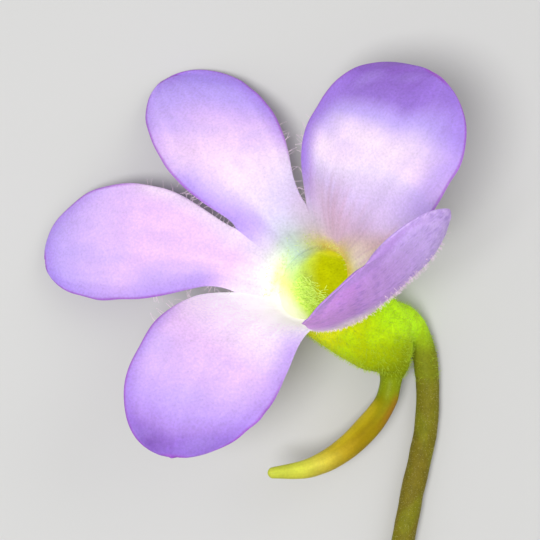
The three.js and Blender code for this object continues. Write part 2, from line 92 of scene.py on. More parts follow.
# What the looks add to those sizes.
PETAL = 0.26  # thickness of a lobe
THINNING = 1.6  # how far in from its free margin a lobe thins
MARGIN_SHARE = 0.5  # its thickness there, as a share of its full one
MARGIN_ROUND = 0.14  # how far in from the margin its rounded edge reaches
TUBE_WALL = 0.34
CAVITY_DOME = 0.4  # depth of the throat's rounded end, as a share of its radius
TUBE_WAIST = 0.055  # how much slimmer the tube's skin is than its solid where it curves down
SPUR_SWELL = 0.06  # how much thicker the spur's skin is than its solid, past its root
STALK_SWELL = 0.96  # the stalk's skin, as a share of its solid's width
CUT_SHARE = 0.88  # how wide the pale face of its cut end is, as a share of the stalk
CREASE = 66  # where two faces meet at more than this, their edge stays crisp

# ---- Colours ----


def tone(code):
    """A #rrggbb colour as linear red, green and blue."""
    value = np.array([int(code[i:i + 2], 16) for i in (1, 3, 5)]) / 255
    return np.where(value <= 0.04045, value / 12.92, ((value + 0.055) / 1.055) ** 2.4)


def tones(*pairs):
    """Stops of a place and a colour each, where the colour may be a #rrggbb code."""
    return [(place, tone(colour) if isinstance(colour, str) else colour)
            for place, colour in pairs]


WHITE = tone("#fffcff")
BLUSH = tone("#fae4fe")
ROSE = tone("#f2cefc")
PINK = tone("#ebc4fb")
LILAC = tone("#dcbcfb")
LAVENDER = tone("#c4aaf8")
PERIWINKLE = tone("#ae94f2")
# A pale band on the upper right lobe: partly the lobe's own whitish middle, partly a painted
# highlight.
PALE_BAND_HIGHLIGHT = tone("#fee8ff")
BLUE_PATCH = tone("#c6b0ff")
VIOLET = tone("#a680e4")
PURPLE = tone("#9268c8")
VEIN = tone("#c79fb4")
MARGIN = tone("#9a4cbe")
FRONT_EDGE = tone("#b184d2")
FRONT_TIP_EDGE = tone("#bc9ce6")
FRONT_RIM = tone("#b890da")
PEARL = tone("#dcd2f4")
DEW = tone("#bfc9cc")
DUSK = tone("#d0b0c0")
CREAM = tone("#fffff2")
LEMON = tone("#eeffa6")
OCHRE = tone("#c6ba3e")
OLIVE = tone("#c2c404")
LEAF = tone("#a9cc14")
LIME = tone("#bcf21c")
MOSS = tone("#8a9a12")
AMBER = tone("#a8681c")
CUT = tone("#b4bc68")
HAIR_GREEN = tone("#c0da46")
HAIR_LIME = tone("#e6fa8c")
HAIR_STALK = tone("#ccc680")
HAIR_PINK = tone("#f8e0f0")

# Round the throat's rim, by heading, and some way down inside it.
RIM_TONES = tones((15, "#cbb030"), (55, "#d4b86a"), (85, "#bca844"), (108, "#b0b880"),
                  (128, "#b8d2bc"), (142, "#c8e6bc"), (157, "#daf6b2"), (176, LEMON),
                  (205, CREAM), (300, WHITE), (345, "#d4da70"), (375, "#cbb030"))
DEEP_TONES = tones((15, "#d6cc24"), (90, "#d2ca20"), (130, "#c8dc50"), (160, "#cfee86"),
                   (200, "#e0fa80"), (240, "#eeff94"), (290, "#f0ff9c"), (330, "#ccd83c"),
                   (375, "#d6cc24"))
# How deep the rim's colour reaches and how deep the wall turns olive, as shares of the tube's
# line, and how strongly the wall glows, all by heading: a painted glow, standing in for the light
# that the thin wall lets through.
RIM_DEPTH = [(15, 0.06), (100, 0.06), (160, 0.12), (185, 0.2), (205, 0.4), (265, 0.45),
             (305, 0.45), (375, 0.06)]
OLIVE_DEPTH = [(15, 0.3), (80, 0.2), (105, 0.1), (130, 0.16), (155, 0.24), (180, 0.36),
               (230, 0.46), (300, 0.4), (375, 0.3)]
THROAT_PAINTED_GLOW = [(15, 0.16), (85, 0.16), (110, 0.1), (130, 0.08), (165, 0.28), (190, 0.39),
               (215, 0.45), (300, 0.42), (375, 0.16)]
# Each lobe's face from its base to its tip, in shares of its length.
FACES = [
    tones((0, OCHRE), (0.07, DUSK), (0.2, "#d2b4d0"), (0.32, "#dac6ee"), (0.44, "#eedefb"),
          (0.51, PALE_BAND_HIGHLIGHT), (0.585, PALE_BAND_HIGHLIGHT), (0.64, "#ecd7fd"), (0.7, "#c8b2f8"),
          (0.8, "#9e7ad8"), (0.96, "#8f64c8"), (1.04, PURPLE)),
    tones((0, DEW), (0.08, DEW), (0.2, PEARL), (0.4, "#f8e2fd"), (0.58, "#f6d6fe"),
          (0.74, LILAC), (0.85, LAVENDER), (1.02, PERIWINKLE)),
    tones((0, LEMON), (0.06, WHITE), (0.12, BLUSH), (0.2, ROSE), (0.56, PINK), (0.75, LILAC),
          (0.94, LAVENDER), (1.06, PERIWINKLE)),
    tones((0, WHITE), (0.14, "#fff4ff"), (0.3, BLUSH), (0.46, "#ecc8fb"), (0.67, "#dab9fa"),
          (0.8, "#c4a4f3"), (0.88, "#ae8ade"), (0.93, "#946cca"), (1.0, "#7042a4")),
    tones((0, LEMON), (0.12, WHITE), (0.4, BLUSH), (0.8, LILAC), (1.02, LAVENDER)),
]
# In the rows below, a lobe's right side is the one towards the lobe before, and its left side
# the one towards the next.
# How far the rim's colour runs out along each lobe's right side, middle and left side.
RIM_REACH = [(0.46, 0.09, 0.04), (0.12,) * 3, (0.05,) * 3, (0.04,) * 3, (0.1,) * 3]
# How far the right and left sides run ahead of the middle from base to tip colours.
SIDE_SHADE = [(-0.03, 0.17), (0.3, -0.08), (0.03, 0.1), (0.06, 0.09), (0.1, 0.1)]
# How far the upper right lobe's right side lags behind its left side, below its pale band and
# past the band's end; the band is partly the lobe's own whitish colour and partly a painted
# highlight.
SLANT = 0.25
STRETCH = 0.35
PALE_BAND_HIGHLIGHT_END = 0.58
# The violet band along each lobe's right and left margins: its width in mm, its strength and
# the shares at which it begins and starts to end.
BANDS = [
    ((3.8, 0.64, 0.3, 1.2), (2.4, 1.0, 0.12, 0.65)),
    ((1.3, 0.65, 0.3, 1.2), (1.2, 0.4, 0.12, 1.2)),
    ((1.6, 0.5, 0.68, 1.2), (1.4, 0.45, 0.12, 1.2)),
    ((1.0, 0.6, 0.3, 1.2), (2.0, 0.6, 0.04, 1.2)),
    ((0.6, 0.0, 0.3, 1.2), (0.6, 0.0, 0.3, 1.2)),
]
# Softer tones along some sides: the lobe, its side (-1 right, 1 left), the colour and its
# strength, its width in mm, and the shares at which it begins and ends. The lavender and lilac
# ones are painted shade near the notches between lobes; the blush and white ones are painted
# light on the left lobe's right margin and the lower left lobe's base.
SIDE_TONES = [
    (UPPER_LEFT, 1, LAVENDER, 1.0, 2.5, 0.07, 0.64),
    (LEFT, 1, LAVENDER, 0.85, 3.4, 0.2, 0.66),
    (LEFT, -1, BLUSH, 0.75, 1.4, 0.1, 0.66),
    (LOWER_LEFT, 1, LILAC, 0.6, 3.2, 0.1, 0.66),
    (LOWER_LEFT, -1, WHITE, 0.8, 3.6, -0.12, 0.3),
]
# A lobe's back by share, and the right lobe's back, which stands up in front, by side and, at
# its foot, by share.
BACK = tones((0, "#d2dc3c"), (0.08, "#e6ecac"), (0.18, "#f2e6f4"), (0.34, "#cba8e6"),
             (0.7, "#b58fde"), (1.02, "#a483da"))
FRONT_BACK = tones((-1, "#d89cea"), (-0.4, "#cd92e5"), (0.1, "#cd9eeb"), (0.6, "#d2b3f8"),
                   (1, "#dabefe"))
FRONT_FOOT = tones((0, "#ccd83a"), (0.22, "#e2e688"), (0.38, "#ecdfc6"), (0.55, "#e8cdf0"))
TUBE_TONES = tones((0, "#dce84e"), (0.14, "#ecf016"), (0.34, "#c0d206"), (0.6, "#a0b404"),
                   (0.8, "#8c9c06"), (1, "#7e8e08"))
SPUR_LIGHT = tone("#dcc62c")
SPUR_SHADE = tone("#947c06")
SPUR_TONES = tones((0, "#82940a"), (0.1, "#88940a"), (0.2, "#96900a"), (0.35, "#998602"),
                   (0.48, "#a68c08"), (0.6, "#c4a824"), (0.72, "#dccb44"), (0.8, "#e2d850"),
                   (0.9, "#dee24e"), (1, "#cdd64a"))
STALK_TONES = tones((0, "#80861b"), (0.15, "#7a761c"), (0.5, "#786c1e"), (1, "#76701e"))


def smooth(low, high, value):
    """Eased from 0 at low to 1 at high."""
    share = np.clip((value - low) / (high - low), 0, 1)
    return share * share * (3 - 2 * share)


def window(value, rise, full, fade, gone):
    """Eased up to 1 between rise and full, and back to 0 between fade and gone."""
    return smooth(rise, full, value) * (1 - smooth(fade, gone, value))


def mix(first, second, share):
    """The first colours turned into the second by a share."""
    share = np.asarray(share)[..., None]
    return first * (1 - share) + second * share


def stops(value, pairs):
    """A colour for each value, in even steps between stops of a place and a colour."""
    colour = np.broadcast_to(pairs[0][1], np.shape(value) + (3,))
    for (low, _), (high, after) in zip(pairs, pairs[1:]):
        colour = mix(colour, after, np.clip((value - low) / (high - low), 0, 1))
    return colour


def ripple(points, scale, seed):
    """Smooth noise from about -1 to 1, a sum of plane waves in random directions."""
    draw = np.random.default_rng(seed)
    total = np.zeros(points.shape[:-1])
    for _ in range(9):
        way = draw.normal(size=points.shape[-1])
        way *= draw.uniform(0.6, 1.6) / np.linalg.norm(way) / scale
        total += np.sin(points @ way * 2 * math.pi + draw.uniform(0, 2 * math.pi))
    return total / 3


# ---- The flower's directions and its lobes ----


def unit(vectors):
    return vectors / np.linalg.norm(vectors, axis=-1, keepdims=True)


RIB_STEPS = 200
BEND_POWER = 0.7  # under 1, so a lobe bends outwards most near its base
ROLL_SHARE = 0.6  # share of its length by which a lobe has rolled
BLADE_SHARE = 0.3  # share by which the joined bases have turned into blades
tilt, lean = math.radians(AXIS_TILT), math.radians(AXIS_LEAN)
AXIS = np.array([
    math.sin(tilt) * math.cos(lean), math.sin(tilt) * math.sin(lean), math.cos(tilt)])
UP = unit(np.array([0, 1, 0]) - AXIS[1] * AXIS)
ACROSS = np.cross(UP, AXIS)


def outward(heading):
    heading = np.asarray(heading)[..., None]
    return np.cos(heading) * ACROSS + np.sin(heading) * UP


def sideways(heading):
    heading = np.asarray(heading)[..., None]
    return np.cos(heading) * UP - np.sin(heading) * ACROSS


def rib(lobe, start, shares):
    """Point, side and face where a lobe's rib, started at a heading, passes each share."""
    q = np.linspace(0, 1, RIB_STEPS + 1)
    angle = np.radians(lobe["rise"] + (lobe["fall"] - lobe["rise"]) * q ** BEND_POWER)
    heading = start + math.radians(lobe["sweep"]) * q
    way = np.cos(angle)[:, None] * AXIS + np.sin(angle)[:, None] * outward(heading)
    moved = np.cumsum((way[1:] + way[:-1]) / 2 * lobe["length"] / RIB_STEPS, axis=0)
    points = RIM_RADIUS * outward(start) + np.vstack([np.zeros(3), moved])
    at = np.stack([np.interp(shares, q, points[:, i]) for i in range(3)], axis=-1)
    angle, heading = np.interp(shares, q, angle), np.interp(shares, q, heading)
    roll = np.radians(lobe["roll"]) * smooth(0, ROLL_SHARE, shares)[:, None]
    side = sideways(heading)
    face = np.sin(angle)[:, None] * AXIS - np.cos(angle)[:, None] * outward(heading)
    return at, side * np.cos(roll) + face * np.sin(roll), face * np.cos(roll) - side * np.sin(roll)


def half_width(lobe, share, across):
    """How far a lobe reaches from its midrib, on the side that across says."""
    left = across < 0
    width = np.where(left, lobe["left"], lobe["right"])
    neck = np.where(left, lobe["neck_left"], lobe["neck_right"])
    widest = lobe["widest"]
    grow = neck + (1 - neck) * np.sin(math.pi / 2 * np.minimum(share / widest, 1)) ** 1.5
    past = np.clip((share - widest) / (1 - widest), 0, 1)
    return width * np.where(share < widest, grow, (1 - past ** lobe["tip"]) ** (1 / lobe["tip"]))


def lobe_grid(index, shares, across):
    """A lobe's points, a row for each share and a column for each place across; its headings."""
    lobe = LOBES[index]
    before = SEAMS[index - 1][0] - (360 if index == 0 else 0)
    after = SEAMS[index][0]
    reach = np.where(across < 0, lobe["heading"] - before, after - lobe["heading"])
    headings = np.radians(lobe["heading"] + reach * across)
    flare = np.stack([rib(lobe, heading, shares)[0] for heading in headings], axis=1)
    middle, side, face = rib(lobe, math.radians(lobe["heading"]), shares)
    s, t = shares[:, None], across[None, :]
    width = half_width(lobe, s, t)
    belly = lobe["belly"] * np.sin(math.pi * s ** 0.8) * (1 - t ** 2)
    blade = (middle[:, None] + side[:, None] * (width * t)[..., None]
             + face[:, None] * (lobe["cup"] * width * t ** 2 - belly)[..., None])
    blend = smooth(0, BLADE_SHARE, s)[..., None]
    return flare * (1 - blend) + blade * blend, headings


def limb_grids(shares, across):
    """The five lobes' points, pulled together along their seams, and their headings."""
    made = [lobe_grid(i, shares, across) for i in range(5)]
    grids = [grid for grid, _ in made]
    for i, (_, sinus) in enumerate(SEAMS):
        left, right = grids[i], grids[(i + 1) % 5]
        joined = shares <= sinus + 1e-9
        last = np.nonzero(joined)[0][-1]
        at = np.minimum(np.arange(len(shares)), last)
        pull = (right[at, 0] - left[at, -1]) / 2
        pull *= np.where(joined, 1, np.exp((sinus - shares) / SEAM_EASE))[:, None]
        left += pull[:, None] * (np.maximum(across, 0) ** 3)[None, :, None]
        right -= pull[:, None] * (np.maximum(-across, 0) ** 3)[None, :, None]
    return grids, [headings for _, headings in made]


# ---- Round bodies along a line ----

# How far on, and how wide still, the loops are that close a round body's end.
DOME = [(math.sin(a), math.cos(a)) for a in np.radians(range(12, 90, 13))]


def above_floor(points, clear=0.01):
    """Points lifted to some millimetres over the floor where they would be lower."""
    points[..., 2] = np.maximum(points[..., 2], GROUND + clear)
    return points


def rings(line, per_span, low=0.0, high=1.0):
    """Centres, radii, directions and two cross directions along a Catmull-Rom line."""
    line = np.array(line, float)
    spans = len(line) - 1
    padded = np.vstack([2 * line[0] - line[1], line, 2 * line[-1] - line[-2]])

    def at(share):
        span = np.minimum((share * spans).astype(int), spans - 1)
        u = (share * spans - span)[:, None]
        a, b, c, d = (padded[span + i] for i in range(4))
        return 0.5 * (2 * b + (c - a) * u + (2 * a - 5 * b + 4 * c - d) * u * u
                      + (3 * b - a - 3 * c + d) * u ** 3)

    share = np.linspace(low, high, round(per_span * spans * (high - low)) + 1)
    points = at(share)
    along = unit((at(np.minimum(share + 1e-4, 1)) - at(np.maximum(share - 1e-4, 0)))[:, :3])
    side = unit(ACROSS - along[0] * (ACROSS @ along[0]))
    sides = []
    for way in along:
        side = unit(side - way * (side @ way))
        sides.append(side)
    sides = np.array(sides)
    return dict(share=share, centre=points[:, :3], radius=points[:, 3], along=along,
                side=sides, up=np.cross(along, sides))


def ring_points(ring, angles, radius):
    """Points round each ring: radius has one value a ring, or one for each point."""
    radius = np.asarray(radius, float)
    radius = radius[:, None, None] if radius.ndim == 1 else radius[..., None]
    cos, sin = np.cos(angles)[None, :, None], np.sin(angles)[None, :, None]
    return (ring["centre"][:, None] + radius
            * (ring["side"][:, None] * cos + ring["up"][:, None] * sin))


# ---- Meshes ----


class Shape:
    """Points with a colour, a flow coordinate, a softness and a glow each, and their faces."""

    def __init__(self):
        self.points, self.tints, self.flows, self.faces = [], [], [], []
        self.softs, self.glows = [], []
        self.count = 0

    def add(self, points, tint, flow=None, soft=1.0, glow=0.0):
        """Add points, whose values are one for all of them or one for each, and number them."""
        points = np.asarray(points, float).reshape(-1, 3)
        self.points.append(points)
        self.tints.append(np.reshape(tint, (-1, 3)) + 0 * points)
        self.flows.append(points if flow is None else np.reshape(flow, (-1, 3)))
        self.softs.append(np.ravel(soft) + 0 * points[:, 0])
        self.glows.append(np.ravel(glow) + 0 * points[:, 0])
        first = self.count
        self.count += len(points)
        return np.arange(first, self.count)

    def face(self, *corners):
        """A face, unless its corners have run together."""
        corners = [c for i, c in enumerate(corners) if c != corners[i - 1]]
        if len(set(corners)) > 2:
            self.faces.append(corners)

    def loops(self, first, second):
        """Quads between two closed loops of the same length."""
        n = len(first)
        for k in range(n):
            self.face(first[k], first[(k + 1) % n], second[(k + 1) % n], second[k])

    def fan(self, loop, point):
        for k in range(len(loop)):
            self.face(loop[k], loop[(k + 1) % len(loop)], point)

    def dome(self, loop, points, centre, ahead, tint, flow):
        """Close a loop of points with a dome that stands some way ahead of its centre."""
        for rise, left in DOME:
            after = self.add(centre + ahead * rise + (points - centre) * left, tint, flow)
            self.loops(loop, after)
            loop = after
        self.fan(loop, self.add(centre + ahead, tint[:1], flow[:1])[0])

    def object(self, name, material, slot, replaced=()):
        mesh = bpy.data.meshes.new(name)
        points = (np.vstack(self.points) + THROAT) / 1000
        mesh.from_pydata(points.tolist(), [], [[int(i) for i in face] for face in self.faces])
        dress(mesh, np.vstack(self.tints), np.vstack(self.flows), np.concatenate(self.softs),
              np.concatenate(self.glows))
        carried(name, mesh, material, replaced)


def dress(mesh, tints, flows, softs, glows):
    """Write what the materials read into a mesh's attributes."""
    colours = np.hstack([tints, np.ones((len(tints), 1))])
    for name, kind, field, values in (
            ("tint", "FLOAT_COLOR", "color", colours), ("flow", "FLOAT_VECTOR", "vector", flows),
            ("soft", "FLOAT", "value", softs), ("glow", "FLOAT", "value", glows)):
        layer = mesh.attributes.new(name, kind, "POINT")
        layer.data.foreach_set(field, values.astype(np.float32).ravel())


def carried(name, mesh, material, replaced):
    """A smooth piece on the part's one body, in place of the solids that it replaces."""
    mesh.shade_smooth()
    mesh.set_sharp_from_angle(angle=math.radians(CREASE))
    mesh.materials.append(material)
    piece = bpy.data.objects.new(name, mesh)
    bpy.context.scene.collection.objects.link(piece)
    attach(piece, "root")
    if replaced:
        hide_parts(*replaced)


# ---- Materials ----

CELL_SCALE = 6500
DOT_SCALE = 4200
RELIEF = 0.00002  # height of the cells, in metres


def tissue(name, rough, scatter, mottle, mottle_scale, grain, streaks=0.0, dots=0.0, gloss=0.25):
    """Plant tissue in its points' own colours: mottled, grained, streaked and dotted."""
    material = bpy.data.materials.new(name)
    material.use_nodes = True
    nodes = material.node_tree.nodes
    shader = nodes["Principled BSDF"]
    place = nodes.new("ShaderNodeTexCoord").outputs["Object"]

    def feed(node, **inputs):
        """Set a node's inputs to numbers, or link them to other nodes' outputs."""
        for title, value in inputs.items():
            socket = node.inputs[title.replace("_", " ")]
            if isinstance(value, bpy.types.NodeSocket):
                material.node_tree.links.new(value, socket)
            else:
                socket.default_value = value
        return node

    def attribute(layer, output):
        node = nodes.new("ShaderNodeAttribute")
        node.attribute_name = layer
        return node.outputs[output]

    def noise(scale, detail, source):
        node = nodes.new("ShaderNodeTexNoise")
        return feed(node, Scale=scale, Detail=detail, Vector=source).outputs["Fac"]

    def ranged(source, low, high, start=0.3, end=0.7):
        node = feed(nodes.new("ShaderNodeMapRange"), Value=source, From_Min=start, From_Max=end,
                    To_Min=low, To_Max=high)
        return node.outputs["Result"]

    def scaled(colour, factor):
        node = nodes.new("ShaderNodeVectorMath")
        node.operation = "SCALE"
        return feed(node, Vector=colour, Scale=factor).outputs["Vector"]

    patches = noise(mottle_scale, 3, place)
    cells = noise(CELL_SCALE, 2, place)
    colour = scaled(attribute("tint", "Color"), ranged(patches, 1 - mottle, 1 + mottle))
    colour = scaled(colour, ranged(cells, 1 - grain, 1 + grain))
    if streaks:
        veins = noise(1.0, 2, attribute("flow", "Vector"))
        colour = scaled(colour, ranged(veins, 1 - streaks, 1 + streaks * 0.6))
    if dots:
        spots = feed(nodes.new("ShaderNodeTexVoronoi"), Scale=DOT_SCALE, Vector=place)
        colour = scaled(colour, ranged(spots.outputs["Distance"], 1 - dots, 1, 0.1, 0.35))
    relief = feed(nodes.new("ShaderNodeBump"), Strength=0.5, Distance=RELIEF, Height=cells)
    # The points' colour also glows as strongly as their glow attribute says: painted light.
    feed(shader, Base_Color=colour, Emission_Color=colour,
         Emission_Strength=attribute("glow", "Fac"), Normal=relief.outputs["Normal"],
         Roughness=ranged(patches, rough - 0.06, rough + 0.06), Specular_IOR_Level=gloss)
    if scatter:
        shader.subsurface_method = "RANDOM_WALK"
        feed(shader, Subsurface_Radius=(1.0, 0.8, 1.0), Subsurface_Scale=0.0003,
             Subsurface_Weight=ranged(attribute("soft", "Fac"), 0, scatter, 0, 1))
    return material


petal_material = tissue("petal", 0.62, 0.35, 0.04, 700, 0.08, streaks=0.06, dots=0.06)
tube_material = tissue("tube", 0.6, 0.3, 0.08, 1400, 0.08, dots=0.14, gloss=0.06)
spur_material = tissue("spur", 0.42, 0.25, 0.08, 900, 0.06, streaks=0.08, gloss=0.1)
calyx_material = tissue("calyx", 0.55, 0, 0.1, 1300, 0.1, dots=0.15, gloss=0.06)
stalk_material = tissue("stalk", 0.6, 0, 0.1, 1500, 0.12, dots=0.12, gloss=0.08)
hair_material = tissue("hair", 0.6, 0, 0.02, 900, 0.02, gloss=0.08)
inner_material = tissue("inner_parts", 0.4, 0, 0.08, 1200, 0.08)

# ---- The limb: five lobes in one closed skin ----

BASE_ROWS = 24
BLADE_ROWS = 78
HALF_COLUMNS = 26
BASE = 0.32  # share of a lobe's length that the base rows cover
WAVE = 0.13  # height of a lobe's slow waves, in mm
FINE_WAVE = 0.02
RAGGED = 0.035  # how far its margin strays

shares = np.concatenate([
    np.linspace(0, BASE, BASE_ROWS + 1),
    BASE + (1 - BASE) * (1 - (1 - np.arange(1, BLADE_ROWS + 1) / BLADE_ROWS) ** 1.5)])
half = np.linspace(0, 1, HALF_COLUMNS + 1)
half = 0.35 * half + 0.65 * np.sin(half * math.pi / 2)
across = np.concatenate([-half[:0:-1], half])
TIP = len(shares) - 1
LAST = len(across) - 1


def waved(grid, index):
    """A lobe's grid with its gentle waves and its slightly uneven margin."""
    s, t = shares[:, None], across[None, :]
    flat = np.stack(np.broadcast_arrays(s * 3, t + index * 7), axis=-1)
    over = np.gradient(grid, axis=1)
    face = unit(np.cross(np.gradient(grid, axis=0), over) + 1e-12)
    out = smooth(0.2, 0.6, s) * (0.25 + 0.75 * t ** 2)
    wave = WAVE * ripple(flat, 1.1, 30 + index) + FINE_WAVE * ripple(flat, 0.4, 90 + index)
    edge = RAGGED * ripple(flat, 0.55, 60 + index) * smooth(0.3, 0.6, s) * np.abs(t) ** 6
    aside = unit(over + 1e-12) * np.sign(t)[..., None]
    return grid + face * (wave * out)[..., None] + aside * edge[..., None]


def free_edge(index):
    """Distance in mm from each point of a lobe to its nearest free margin."""
    lobe = LOBES[index]
    s, t = shares[:, None], across[None, :]
    width = half_width(lobe, s, t)
    best = np.full((TIP + 1, LAST + 1), 99.0)
    for sign, sinus in ((-1, SEAMS[index - 1][1]), (1, SEAMS[index][1])):
        beside = np.abs(sign - t) * width
        below = np.maximum(sinus - s, 0) * lobe["length"]
        best = np.minimum(best, np.hypot(beside, below))
    return np.minimum(best, (1 - s) * lobe["length"])


grids, headings = limb_grids(shares, across)
grids = [waved(grid, i) for i, grid in enumerate(grids)]
edges = [free_edge(i) for i in range(5)]


def face_colour(index, s, t, heading):
    """One lobe's own face, with the throat's rim at its base."""
    ahead = np.where(t < 0, *SIDE_SHADE[index]) * np.abs(t) ** 1.4 * smooth(0.3, 0.6, s)
    if index == UPPER_RIGHT:
        slant = SLANT * t * (1 - t ** 2) * window(s, 0.25, 0.45, 0.48, 0.6)
        ahead = ahead + slant - STRETCH * np.maximum(s - PALE_BAND_HIGHLIGHT_END, 0) * smooth(0, 0.4, -t)
    own = stops(s + ahead, FACES[index])
    rim = stops(np.degrees(heading), RIM_TONES)
    reach = np.interp(t, (-1, 0, 1), RIM_REACH[index])
    return mix(rim, own, smooth(0, 1, s / reach))


def inner_colour(index, s, t, heading):
    """A lobe's face, which runs into its neighbours' below the notches between them."""
    colour = face_colour(index, s, t, heading)
    for side, other, sinus in ((-1, index - 1, SEAMS[index - 1][1]),
                               (1, (index + 1) % 5, SEAMS[index][1])):
        seam = face_colour(other, s, -side + 0 * t, heading)
        share = 0.5 * smooth(0.1, 1, side * t) * (1 - smooth(sinus, sinus + 0.14, s))
        colour = mix(colour, seam, share)
    return colour


def back_colour(index, s, t, _):
    """A lobe's back, where the right lobe's has a pale foot."""
    if index != RIGHT:
        return stops(s, BACK)
    start = 0.5 - 0.26 * smooth(-0.1, 0.7, t)
    return mix(stops(s, FRONT_FOOT), stops(t, FRONT_BACK), smooth(start, start + 0.15, s))


def number_points():
    """Numbers for the grids' points, shared along seams and at tips, and what each stands for."""
    numbers, places = [], []
    for i in range(5):
        grid = np.zeros((TIP + 1, LAST + 1), int)
        numbers.append(grid)
        for r, c in np.ndindex(grid.shape):
            if r == TIP and c > 0:
                grid[r, c] = grid[r, 0]
            elif c == LAST and i == 4 and shares[r] <= SEAMS[i][1] + 1e-9:
                grid[r, c] = numbers[0][r, 0]
            elif c == 0 and i > 0 and shares[r] <= SEAMS[i - 1][1] + 1e-9:
                grid[r, c] = numbers[i - 1][r, LAST]
            else:
                grid[r, c] = len(places)
                places.append((i, r, c))
    return numbers, np.array(places)


numbers, places = number_points()
lobe_of, row_of, column_of = places.T
point = np.array(grids)[lobe_of, row_of, column_of]
edge = np.array(edges)[lobe_of, row_of, column_of]
heading = np.array(headings)[lobe_of, column_of]
share, side = shares[row_of], across[column_of]
quads = np.vstack([
    np.stack([n[:-1, :-1], n[1:, :-1], n[1:, 1:], n[:-1, 1:]], axis=-1).reshape(-1, 4)
    for n in numbers])
crossed = np.cross(point[quads[:, 2]] - point[quads[:, 0]],
                   point[quads[:, 3]] - point[quads[:, 1]])
normal = np.zeros_like(point)
for k in range(4):
    np.add.at(normal, quads[:, k], crossed)
normal[row_of == 0] = -point[row_of == 0]
normal = unit(normal)
rounding = np.clip(edge / MARGIN_ROUND, 0, 1)
half_thick = (PETAL / 2 * np.sqrt(1 - (1 - rounding) ** 2)
              * (MARGIN_SHARE + (1 - MARGIN_SHARE) * smooth(0, THINNING, edge)))
flow = np.stack([9 * np.cos(heading), 9 * np.sin(heading), 2.2 * share], axis=-1)

margin_line = (1 - smooth(0.04, 0.22, edge)) * smooth(0.25, 0.5, share) * (lobe_of != RIGHT)
margin_line *= 1 - 0.8 * (lobe_of == LEFT) * (side < 0) * (1 - smooth(0.55, 0.7, share))


def near_margin(width):
    """1 on a free margin, easing to 0 some millimetres in from it."""
    return 1 - smooth(0, width, edge)


def painted(colour):
    """A colour for each point, worked out lobe by lobe."""
    tints = np.zeros_like(point)
    for i in range(5):
        mine = lobe_of == i
        tints[mine] = colour(i, share[mine], side[mine], heading[mine])
    return tints


def face_tints():
    """The lobes' faces with their veins, bluish patches, side tones, bands and margins."""
    tints = painted(inner_colour)
    veins = smooth(-0.2, 0.9, ripple(flow * [1.6, 1.6, 0.25], 1.0, 11))
    veined = (lobe_of == UPPER_RIGHT) * window(share, 0.06, 0.14, 0.28, 0.42)
    tints = mix(tints, VEIN, 0.35 * veins * veined)
    bluish = smooth(0.1, 1.2, ripple(point, 3.0, 3)) * smooth(0.3, 0.55, share)
    tints = mix(tints, BLUE_PATCH, 0.26 * bluish)
    for lobe, sign, side_tone, strength, width, start, end in SIDE_TONES:
        near_side = (lobe_of == lobe) * smooth(0, 0.5, sign * side) * near_margin(width)
        along_side = window(share, start, start + 0.12, end - 0.14, end)
        tints = mix(tints, side_tone, strength * near_side * along_side)
    width, strength, start, end = np.array(BANDS)[lobe_of, (side > 0).astype(int)].T
    band = strength * near_margin(width) * window(share, start, start + 0.2, end, end + 0.2)
    tints = mix(mix(tints, VIOLET, band), MARGIN, 0.75 * margin_line)
    front_line = (1 - smooth(0.4, 1.0, edge)) * smooth(0.3, 0.5, share) * (lobe_of == RIGHT)
    front_tone = mix(FRONT_EDGE, FRONT_TIP_EDGE, smooth(0.5, 0.95, side))
    return mix(tints, front_tone, front_line)


def back_tints():
    """The lobes' backs, mottled towards their tips."""
    tints = painted(back_colour)
    mottled = (0.6 * ripple(flow / 2, 1.0, 4) + 0.5 * ripple(point, 0.7, 6)
               + 0.45 * ripple(point, 0.28, 7))
    tints = mix(tints, PURPLE, 0.5 * smooth(0, 1.3, mottled) * smooth(0.45, 0.65, share))
    tints = mix(tints, MARGIN, 0.7 * margin_line)
    front_rim = ((1 - smooth(0.4, 1.1, edge)) * smooth(0.82, 0.92, share) * (lobe_of == RIGHT)
                 * (1 - smooth(0.8, 0.95, side)))
    return mix(tints, FRONT_RIM, 0.85 * front_rim)


def painted_face_glow():
    """Painted glow at the bases of the lobes, standing in for the light they let through, and on
    most of the lower left one, painted light that brightens it.
    """
    glow = np.interp(np.degrees(heading), *np.transpose(THROAT_PAINTED_GLOW))
    glow *= 1 - smooth(0, 0.09, share)
    lower = 0.19 * (1 - smooth(0.08, 0.52, share)) * (1 - 0.35 * smooth(0, 0.6, side))
    return np.maximum(glow, lower * (lobe_of == LOWER_LEFT))


inner_tint, outer_tint = face_tints(), back_tints()
limb = Shape()
inner_points = above_floor(point + normal * half_thick[:, None])
outer_points = above_floor(point - normal * half_thick[:, None])
softness = smooth(0, 0.08, share)
inner_number = limb.add(inner_points, inner_tint, flow, softness, painted_face_glow())
outer_number = inner_number.copy()
thick = half_thick > 1e-6
outer_number[thick] = limb.add(outer_points[thick], outer_tint[thick], flow[thick],
                               softness[thick])
for corners in quads:
    limb.face(*inner_number[corners])
    limb.face(*outer_number[corners[::-1]])
rim_loop = np.concatenate([numbers[i][0, :-1] for i in range(5)])
limb.loops(outer_number[rim_loop], inner_number[rim_loop])
limb.object("corolla_limb_skin", petal_material, "corolla_limb", ["corolla_limb"])

# ---- The tube, which carries the limb's rim down heading by heading ----

rim_headings = np.concatenate([headings[i][:-1] for i in range(5)])
# Strength of the painted glow on the tube's lit flank beside the calyx and on the calyx's lime.
CALYX_PAINTED_GLOW = 0.14

